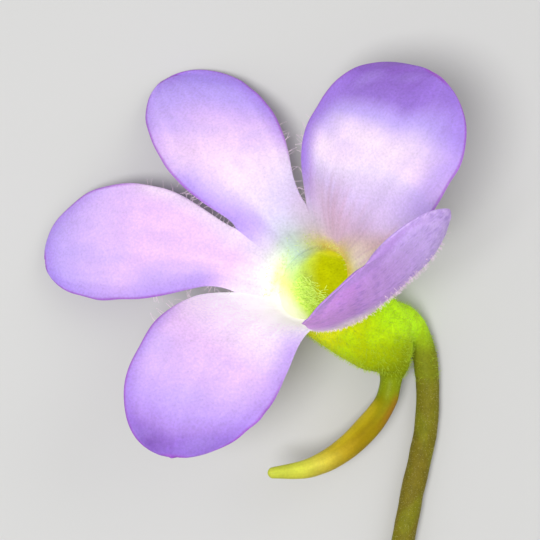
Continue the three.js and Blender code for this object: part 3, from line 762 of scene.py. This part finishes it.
tube_share = TUBE_SPANS / (len(COROLLA_LINE) - 1)
tube = rings(COROLLA_LINE, 12, 0, tube_share)
down = tube["share"] / tube_share
tube["radius"] *= 1 - TUBE_WAIST * window(down, 0.3, 0.6, 0.75, 1)
outer_rim, inner_rim = outer_points[rim_loop], inner_points[rim_loop]
rim_fade = 1 - smooth(0, 0.22, down)[:, None, None]


def painted_light_beside_calyx(points):
    """1 on the tube's flank beside the calyx, where painted light lies: the tube is painted lime
    and glows there, as if that flank caught more light.
    """
    return smooth(2.6, 5, points[..., 0]) * smooth(-4.6, -2, points[..., 1])


def tube_colour(points, level):
    """The tube's outside at points some share of the way down it, with painted light: limier on
    its flank beside the calyx.
    """
    limed = smooth(-0.2, 1, ripple(points, 1.6, 8)) * smooth(0.1, 0.3, level)
    colour = mix(stops(level, TUBE_TONES), LIME, 0.3 * limed * (1 - smooth(0.3, 0.6, level)))
    return mix(colour, LIME, 0.85 * painted_light_beside_calyx(points))


outside = ring_points(tube, -rim_headings, tube["radius"])
outside = outside + (outer_rim - outside[0]) * rim_fade
level = down[:, None] + 0 * outside[..., 0]
outer_tints = mix(outer_tint[rim_loop][None], tube_colour(outside, level), smooth(0, 0.1, level))
tube_soft = window(level, 0, 0.1, 0.88, 0.98)
tube_shape = Shape()
outer_loops = tube_shape.add(outside, outer_tints, None, tube_soft,
                             CALYX_PAINTED_GLOW * painted_light_beside_calyx(outside))
outer_loops = outer_loops.reshape(level.shape)

floor_ring = round(CAVITY_SHARE * (len(down) - 1))
hollow = {key: value[:floor_ring + 1] for key, value in tube.items()}
inside = ring_points(hollow, -rim_headings, hollow["radius"] - TUBE_WALL)
inside = inside + (inner_rim - inside[0]) * rim_fade[:floor_ring + 1]
depth = level[:floor_ring + 1]
around = np.degrees(rim_headings)
rim_depth, olive_depth, glow = (
    np.interp(around, *np.transpose(pairs)) for pairs in (RIM_DEPTH, OLIVE_DEPTH, THROAT_PAINTED_GLOW))
olived = smooth(0.4, 1, depth / olive_depth)
deep_tints = mix(stops(around, DEEP_TONES)[None], OLIVE, olived)
inner_tints = mix(inner_tint[rim_loop][None], deep_tints, smooth(0.2, 1, depth / rim_depth))
# The painted glow fades where the wall turns olive and, on headings below about 200, deeper down;
# it never drops under 0.11.
dimmed = 0.6 * smooth(0.06, 0.2, depth) * (1 - smooth(182, 212, around))
glow = np.maximum(glow * (1 - olived) * (1 - dimmed), 0.11)
inner_loops = tube_shape.add(inside, inner_tints, None, tube_soft[:floor_ring + 1], glow)
inner_loops = inner_loops.reshape(depth.shape)
for r in range(len(down) - 1):
    tube_shape.loops(outer_loops[r + 1], outer_loops[r])
for r in range(floor_ring):
    tube_shape.loops(inner_loops[r], inner_loops[r + 1])
tube_shape.loops(inner_loops[0], outer_loops[0])
end_reach = hollow["along"][-1] * CAVITY_DOME * (hollow["radius"][-1] - TUBE_WALL)
tube_shape.dome(inner_loops[-1], inside[-1], hollow["centre"][-1], end_reach,
                OLIVE + 0 * inside[-1], inside[-1])
tube_shape.face(*outer_loops[-1])
tube_shape.object("corolla_tube_skin", tube_material, "corolla_tube", ["corolla_tube"])

# ---- Round pieces: spur, stalk, receptacle, ovary and stamens ----


def tapered(line, per_span, colour, low=0.0, high=1.0, sides=48, uneven=0.0, seed=0,
            domed=True, swell=None, shape=None):
    """A closed round body along a line, with a domed far end or a cut one."""
    shape = shape or Shape()
    ring = rings(line, per_span, low, high)
    angles = np.arange(sides) * 2 * math.pi / sides
    along = (ring["share"] - low) / (high - low)
    radius = ring["radius"][:, None] + 0 * angles
    if swell:
        radius = radius * swell(along)[:, None]
    points = ring_points(ring, angles, radius)
    radius = radius * (1 + uneven * ripple(points, 1.4, seed))
    points = above_floor(ring_points(ring, angles, radius))
    tints = colour(points, along[:, None] + 0 * radius)
    flows = np.stack(np.broadcast_arrays(
        3 * np.cos(angles), 3 * np.sin(angles), along[:, None] * 2), axis=-1)
    soft = smooth(0, 0.06, along[:, None]) + 0 * radius
    loops = shape.add(points, tints, flows, soft).reshape(radius.shape)
    for r in range(len(along) - 1):
        shape.loops(loops[r], loops[r + 1])
    shape.face(*loops[0][::-1])
    centre = ring["centre"][-1]
    if domed:
        shape.dome(loops[-1], points[-1], centre, ring["along"][-1] * radius[-1].mean(),
                   tints[-1], flows[-1])
    else:
        cut = shape.add(centre + (points[-1] - centre) * CUT_SHARE, CUT)
        shape.loops(loops[-1], cut)
        shape.face(*cut)
    return shape, points


def spur_colour(points, along):
    """The spur, amber on its right flank near the root, with painted light along its upper left
    side and painted shade along its lower right side.
    """
    out = points - points.mean(axis=-2, keepdims=True)
    right, upper = out @ unit(np.array([1.0, -0.6, 0.1])), out @ unit(np.array([-1.0, 1.0, 0]))
    amber = smooth(0.1, 0.65, right) * window(along, 0.06, 0.14, 0.2, 0.42)
    lit = smooth(0.1, 0.7, upper) * window(along, 0.14, 0.28, 0.55, 0.8)
    shaded = smooth(0, 0.6, -upper) * smooth(0.35, 0.5, along)
    colour = mix(stops(along, SPUR_TONES), SPUR_LIGHT, 0.75 * lit)
    return mix(mix(colour, SPUR_SHADE, 0.5 * shaded), AMBER, 0.7 * amber)


spur_shape, spur_points = tapered(
    COROLLA_LINE, 10, spur_colour, low=tube_share, uneven=0.012, seed=5,
    swell=lambda along: 1 + SPUR_SWELL * smooth(0.15, 0.35, along))
spur_shape.object("spur_skin", spur_material, "spur", ["spur"])

calyx_share = CALYX_SPANS / (len(STALK_LINE) - 1)


def stalk_colour(points, along):
    return mix(stops(along, STALK_TONES), MOSS, 0.25 * smooth(-0.2, 1, ripple(points, 1.9, 12)))


stalk_shape, stalk_points = tapered(
    STALK_LINE, 12, stalk_colour, low=calyx_share * 1.4, uneven=0.02, seed=9, domed=False,
    swell=lambda along: STALK_SWELL + 0 * along)
stalk_shape.object("scape_skin", stalk_material, "scape", ["scape"])

seat_ring = int(SEAT_SHARE * (len(down) - 1))
seat_way = np.array(STALK_LINE[1][:3]) - tube["centre"][seat_ring]
SEAT_ANGLE = math.atan2(seat_way @ tube["up"][seat_ring], seat_way @ tube["side"][seat_ring])


def on_tube(at_share, angle, lift):
    """Points of the tube's outside, lifted by some millimetres."""
    place = np.clip(at_share, 0, 1) * (len(down) - 1)
    low = np.minimum(place.astype(int), len(down) - 2)
    part = (place - low)[..., None]

    def at(i):
        radius = (tube["radius"][i] + lift)[..., None]
        return tube["centre"][i] + radius * (
            tube["side"][i] * np.cos(angle)[..., None]
            + tube["up"][i] * np.sin(angle)[..., None])

    return at(low) * (1 - part) + at(low + 1) * part


# ---- Calyx: five sepals and the receptacle, grown together ----

SEPAL_RISE = 0.22  # how thick a sepal stands on the tube along its midrib
SEPAL_SPREAD = 1.45  # how much wider than the solids' its soft green edges reach
CALYX_GRAIN = 0.08  # size of the grains that the calyx is remeshed with
CALYX_SOFTENING = 24  # rounds of smoothing after that
# The green mass in which the tube's end runs into the stalk, [x, y, z, radius].
CALYX_LINE = [
    [3.9, -2.95, -3.12, 2.32], [4.9, -2.85, -3.7, 1.96], [5.8, -2.8, -4.3, 1.44],
    [6.55, -3.2, -4.72, 1.1], [7.08, -3.95, -4.95, 0.9], [7.42, -4.9, -5.08, 0.81],
    [7.56, -6.0, -5.13, 0.78],
]
# The web of green between that mass and the tube's side.
CALYX_WEB = [[4.7, -1.5, -2.3, 0.75], [5.35, -2.6, -2.8, 0.85], [5.7, -3.5, -3.3, 0.8],
             [5.85, -4.25, -3.8, 0.6]]


def add_sepal(shape, reach, turn):
    """A sepal wrapped on the tube, from the seat, thickest along its midrib."""
    q = np.linspace(0, 1, 22)[:, None]
    across_sepal = np.linspace(-1, 1, 13)[None, :]
    at_share = SEAT_SHARE + reach * q + 0 * across_sepal
    girth = np.interp(at_share * (len(down) - 1), np.arange(len(down)), tube["radius"])
    width = SEPAL_WIDTH * SEPAL_SPREAD / 2 * np.sin(math.pi * (0.2 + 0.8 * q)) ** 0.7
    angle = SEAT_ANGLE + math.radians(turn) * q + width * across_sepal / girth
    rise = SEPAL_RISE * (1 - across_sepal ** 2) - 0.04 + 0 * q
    under, top = (shape.add(on_tube(at_share, angle, lift), LIME).reshape(at_share.shape)
                  for lift in (rise - 0.3, rise))
    loops = np.hstack([top, under[:, ::-1], top[:, :1]])
    for i in range(q.size - 1):
        for k in range(loops.shape[1] - 1):
            shape.face(loops[i, k], loops[i + 1, k], loops[i + 1, k + 1], loops[i, k + 1])
    for c in range(across_sepal.size - 1):
        shape.face(top[0, c], top[0, c + 1], under[0, c + 1], under[0, c])
        shape.face(under[-1, c], under[-1, c + 1], top[-1, c + 1], top[-1, c])


def grown_together(shape):
    """One soft skin round a shape's bodies, in millimetres."""
    mesh = bpy.data.meshes.new("rough_calyx")
    mesh.from_pydata(np.vstack(shape.points).tolist(), [],
                     [[int(i) for i in face] for face in shape.faces])
    rough = bpy.data.objects.new("rough_calyx", mesh)
    bpy.context.scene.collection.objects.link(rough)
    remesh = rough.modifiers.new("remesh", "REMESH")
    remesh.mode = "VOXEL"
    remesh.voxel_size = CALYX_GRAIN
    soften = rough.modifiers.new("soften", "SMOOTH")
    soften.factor = 0.5
    soften.iterations = CALYX_SOFTENING
    grown = bpy.data.meshes.new_from_object(
        rough.evaluated_get(bpy.context.evaluated_depsgraph_get()))
    bpy.data.objects.remove(rough)
    return grown


calyx_shape = Shape()
for line in (CALYX_LINE, CALYX_WEB):
    tapered(line, 12, lambda points, along: LIME + 0 * points, uneven=0.02, seed=21,
            shape=calyx_shape)
for reach, turn in SEPALS:
    add_sepal(calyx_shape, reach, turn)
calyx_mesh = grown_together(calyx_shape)
calyx_points = above_floor(np.array([vertex.co for vertex in calyx_mesh.vertices]))
to_axis = np.linalg.norm(calyx_points[:, None] - tube["centre"][None], axis=-1)
nearest = to_axis.argmin(axis=1)
height = to_axis.min(axis=1) - tube["radius"][nearest]
calyx_tints = mix(LIME, LEAF, 0.5 * smooth(-0.3, 1, ripple(calyx_points, 1.1, 14)))
calyx_tints = mix(tube_colour(calyx_points, down[nearest]), calyx_tints, smooth(0, 0.3, height))
stalk_start = np.array(CALYX_LINE[-1][:3])
near_stalk = 1 - smooth(1.2, 4.3, np.linalg.norm(calyx_points - stalk_start, axis=1))
calyx_tints = mix(calyx_tints, STALK_TONES[0][1], near_stalk)
calyx_mesh.vertices.foreach_set("co", ((calyx_points + THROAT) / 1000).ravel())
# The calyx glows with painted light where it stands off the tube and on the lit flank, less
# towards the stalk.
calyx_painted_glow = CALYX_PAINTED_GLOW * (1 - near_stalk) * np.maximum(smooth(0, 0.3, height),
                                                        painted_light_beside_calyx(calyx_points))
dress(calyx_mesh, calyx_tints, calyx_points, 0 * near_stalk, calyx_painted_glow)
carried("calyx_skin", calyx_mesh, calyx_material, ["calyx"])

# ---- Ovary, stigma and stamens ----

one = np.array([SEAT_SHARE]), np.array([SEAT_ANGLE])
seat = on_tube(*one, np.zeros(1))[0]
inwards = unit(seat - on_tube(*one, np.ones(1))[0])
towards_mouth = unit(tube["centre"][12] - tube["centre"][32])
beside = np.cross(inwards, towards_mouth)
ovary = seat + inwards * (WALL + 0.15 + OVARY_RADIUS)


def line_of(*knots):
    return [[*place, radius] for place, radius in knots]


def plain(code):
    return lambda points, along: tone(code) + 0 * points


def add_ball(shape, centre, radius, depth, way, code):
    """A closed ball, flattened to a depth along a direction."""
    first = unit(np.cross(way, [0.3, 0.5, 0.8]))
    second = np.cross(way, first)
    angles = np.arange(20) * math.pi / 10
    loops = []
    for degrees in range(-75, 76, 15):
        rise, level = math.sin(math.radians(degrees)), math.cos(math.radians(degrees))
        loop = centre + way * depth * rise + radius * level * (
            np.cos(angles)[:, None] * first + np.sin(angles)[:, None] * second)
        loops.append(shape.add(loop, tone(code)))
        if len(loops) > 1:
            shape.loops(loops[-2], loops[-1])
    shape.fan(loops[0][::-1], shape.add(centre - way * depth, tone(code))[0])
    shape.fan(loops[-1], shape.add(centre + way * depth, tone(code))[0])


pistil_line = line_of(
    (seat + inwards * 0.1, 0.36), (ovary - inwards * 0.55, 0.4), (ovary - inwards * 0.1, 0.6),
    (ovary + towards_mouth * 0.3, 0.54), (ovary + towards_mouth * 0.62, 0.3),
    (ovary + towards_mouth * 1.0, 0.27))
pistil_shape, _ = tapered(pistil_line, 8, plain("#b3cc3c"), sides=24)
add_ball(pistil_shape, ovary + towards_mouth * 1.12, 0.5, 0.22, towards_mouth, "#e6e6a0")
pistil_shape.object("pistil_skin", inner_material, "pistil", ["pistil"])

for node, hand in (("stamen_left", -1), ("stamen_right", 1)):
    root = ovary + beside * hand * STAMEN_OFFSET + inwards * 0.15
    filament = line_of(
        (root, 0.17), (root + towards_mouth * STAMEN_LENGTH / 2 + inwards * 0.12, 0.14),
        (root + towards_mouth * STAMEN_LENGTH, 0.12))
    stamen_shape, _ = tapered(filament, 10, plain("#ece8c0"), sides=16)
    for lobe in (-1, 1):
        anther = root + towards_mouth * STAMEN_LENGTH + beside * 0.13 * lobe
        add_ball(stamen_shape, anther, 0.2, 0.3, unit(towards_mouth + 0.3 * inwards), "#e9d672")
    stamen_shape.object(node + "_skin", inner_material, "stamen", [node])

# ---- Hairs ----

# Places along a hair, in shares of its length, and its width there in shares of its root's. At
# the last place is its gland, which has a width of its own.
HAIR_STEPS = [(-0.12, 1.0), (0.4, 0.72), (0.8, 0.5), (0.9, None)]
HAIR_SIDES = 3
NOTCH_HAIRS = 15  # along each margin beside a notch
NOTCH_REACH = 0.34  # how far they run up it, as a share of its lobe


def sow(grid, count, seed, facing=1, closed=False, weight=None):
    """Random places spread over a grid of points, and their outward ways."""
    draw = np.random.default_rng(seed)
    if closed:
        grid = np.concatenate([grid, grid[:, :1]], axis=1)
    a, b, c, d = grid[:-1, :-1], grid[1:, :-1], grid[1:, 1:], grid[:-1, 1:]
    crossed = np.cross(c - a, d - b) * facing
    area = np.linalg.norm(crossed, axis=-1)
    if weight is not None:
        area = area * weight[:area.shape[0], :area.shape[1]]
    cell = np.unravel_index(draw.choice(area.size, count, p=(area / area.sum()).ravel()),
                            area.shape)
    u, v = draw.random((2, count, 1))
    place = (a[cell] * (1 - u) + b[cell] * u) * (1 - v) + (d[cell] * (1 - u) + c[cell] * u) * v
    return place, unit(crossed[cell])


def add_hairs(shape, roots, ways, lengths, tint, seed, radius, head, stray=0.3, glow=0.0):
    """Closed hairs, each bent a little and tipped with a small gland."""
    draw = np.random.default_rng(seed)
    count = len(roots)
    long = draw.uniform(*lengths, (count, 1))
    ways = unit(ways + stray * draw.normal(size=(count, 3)))
    first = unit(np.cross(ways, draw.normal(size=(count, 3))))
    second = np.cross(ways, first)
    curl = first * 0.3 * draw.normal(size=(count, 1)) * long
    angles = np.arange(HAIR_SIDES) * 2 * math.pi / HAIR_SIDES
    bright = draw.uniform(0.82, 1.08, (count, 1))

    def centre(step):
        return roots + ways * long * step + curl * max(step, 0) ** 2

    columns = []
    for step, width in HAIR_STEPS:
        wide = radius * (head if width is None else width)
        for angle in angles:
            columns.append(centre(step) + wide * (first * math.cos(angle)
                                                  + second * math.sin(angle)))
    columns.append(centre(1.0))
    points = above_floor(np.stack(columns, axis=1), 0)
    tints = np.minimum((tint * bright)[:, None] + 0 * points, 1)
    index = shape.add(points, tints, glow=glow).reshape(count, -1)
    for hair in index:
        loops = hair[:-1].reshape(-1, HAIR_SIDES)
        shape.face(*loops[0][::-1])
        for low, high in zip(loops, loops[1:]):
            shape.loops(low, high)
        shape.fan(loops[-1], hair[-1])


def hair_piece(name, slot, *patches):
    """A piece of hairs from patches of roots and ways and add_hairs' other values; slot is not
    used.
    """
    shape = Shape()
    for sown, *values in patches:
        add_hairs(shape, *sown, *values)
    shape.object(name, hair_material, slot)


# Each patch below: its roots and ways, lengths, colour, seed, radius and gland's width in radii,
# and for some how far its hairs stray and how much painted glow they get.
tuft_start = np.interp(around, (180, 200), (0.07, 0.22))
tufted = window(around, 140, 160, 260, 310) * smooth(0, 0.05, depth - tuft_start)
tufted *= 1 - smooth(0.28, 0.36, depth)
hair_piece(
    "tube_hairs", "corolla_tube",
    (sow(outside, 4200, 101, closed=True, weight=smooth(0.02, 0.14, level)),
     (0.1, 0.24), HAIR_GREEN, 102, 0.012, 1.1),
    (sow(inside, 900, 103, facing=-1, closed=True, weight=tufted),
     (0.2, 0.5), HAIR_LIME, 104, 0.025, 0.9, 0.4, 0.12))
hair_piece("scape_hairs", "scape", (sow(stalk_points, 3400, 105, closed=True), (0.12, 0.26),
                                    HAIR_STALK, 106, 0.014, 1.0))
at_root = 1 - smooth(0.02, 0.2, np.linspace(0, 1, len(spur_points)))
at_root = at_root[:, None] + 0 * spur_points[..., 0]
hair_piece("spur_hairs", "spur", (sow(spur_points, 130, 107, closed=True, weight=at_root),
                                  (0.1, 0.2), HAIR_GREEN, 108, 0.02, 1.7))

centres = np.array([polygon.center for polygon in calyx_mesh.polygons]) * 1000 - THROAT
ways = np.array([polygon.normal for polygon in calyx_mesh.polygons])
chosen = np.random.default_rng(109).choice(len(centres), 1900)
hair_piece("calyx_hairs", "calyx", ((centres[chosen], ways[chosen]), (0.1, 0.22), HAIR_GREEN,
                                    110, 0.015, 1.2))

front_back = outer_points[numbers[RIGHT]]
s_grid, t_grid = shares[:, None] + 0 * across, across + 0 * shares[:, None]
lower_edge = window(s_grid, 0.17, 0.22, 0.62, 0.67) * smooth(-0.1, 0.2, t_grid)
foot = window(s_grid, 0.05, 0.1, 0.5, 0.55)
patches = [(sow(front_back, 380, 111, facing=-1, weight=lower_edge), (0.1, 0.3), HAIR_PINK,
            112, 0.013, 1.5),
           (sow(front_back, 600, 113, facing=-1, weight=foot), (0.06, 0.18), HAIR_PINK,
            114, 0.013, 1.2)]
for index, count in ((UPPER_RIGHT, 40), (UPPER_LEFT, 60), (LEFT, 40)):
    sown = sow(inner_points[numbers[index]], count, 120 + index,
               weight=1 - smooth(0.0, 0.1, s_grid))
    patches.append((sown, (0.12, 0.3), HAIR_LIME, 130 + index, 0.014, 0.9))
for index, column in ((UPPER_RIGHT, LAST), (UPPER_LEFT, 0), (UPPER_LEFT, LAST), (LEFT, 0),
                      (LEFT, LAST), (LOWER_LEFT, 0)):
    margin = point[numbers[index][:, column]]
    next_column = 1 if column == 0 else LAST - 1
    aside = unit(margin - point[numbers[index][:, next_column]] + 1e-12)
    sinus = SEAMS[index][1] if column == LAST else SEAMS[index - 1][1]
    rows = np.nonzero((shares > sinus) & (shares < sinus + NOTCH_REACH))[0]
    rows = np.random.default_rng(140 + index + column).choice(rows, NOTCH_HAIRS)
    faces = normal[numbers[index][rows, column]]
    patches.append(((margin[rows], aside[rows] + 0.3 * faces), (0.3, 0.6), HAIR_PINK,
                    150 + index + column, 0.016, 1.2))
hair_piece("limb_hairs", "corolla_limb", *patches)

# ---- Camera, light and floor ----

CAMERA_HEIGHT = 112.5
CAMERA_OFFSET = np.array([-2.6875, 0.8125])

scene = bpy.context.scene
camera = bpy.data.objects.new("camera", bpy.data.cameras.new("camera"))
camera.data.lens = 120
camera.data.sensor_width = 36
camera.data.clip_start = 0.005
camera.location = (np.append(CAMERA_OFFSET, CAMERA_HEIGHT) + THROAT) / 1000
scene.collection.objects.link(camera)
scene.camera = camera
scene.view_settings.view_transform = "Standard"

world = bpy.data.worlds.new("studio")
scene.world = world
world.use_nodes = True
background = world.node_tree.nodes["Background"]
background.inputs["Color"].default_value = (1, 1, 1, 1)
background.inputs["Strength"].default_value = 0.5


def add_light(name, position, target, size, power):
    light = bpy.data.objects.new(name, bpy.data.lights.new(name, "AREA"))
    light.data.shape = "DISK"
    light.data.size = size
    light.data.energy = power
    light.location = position
    light.rotation_euler = (Vector(target) - Vector(position)).to_track_quat("-Z", "Y").to_euler()
    scene.collection.objects.link(light)


add_light("key", (-0.045, -0.025, 0.23), (0.004, 0.006, 0.006), 0.09, 0.34)
add_light("fill", (0.14, 0.1, 0.16), (0, 0, 0.005), 0.16, 0.06)

bpy.ops.mesh.primitive_grid_add(x_subdivisions=2, y_subdivisions=2, size=4)
floor = bpy.context.object
floor.name = "floor"
paper = bpy.data.materials.new("floor")
paper.use_nodes = True
sheet = paper.node_tree.nodes["Principled BSDF"]
sheet.inputs["Base Color"].default_value = (0.62, 0.62, 0.61, 1)
sheet.inputs["Roughness"].default_value = 0.8
floor.data.materials.append(paper)
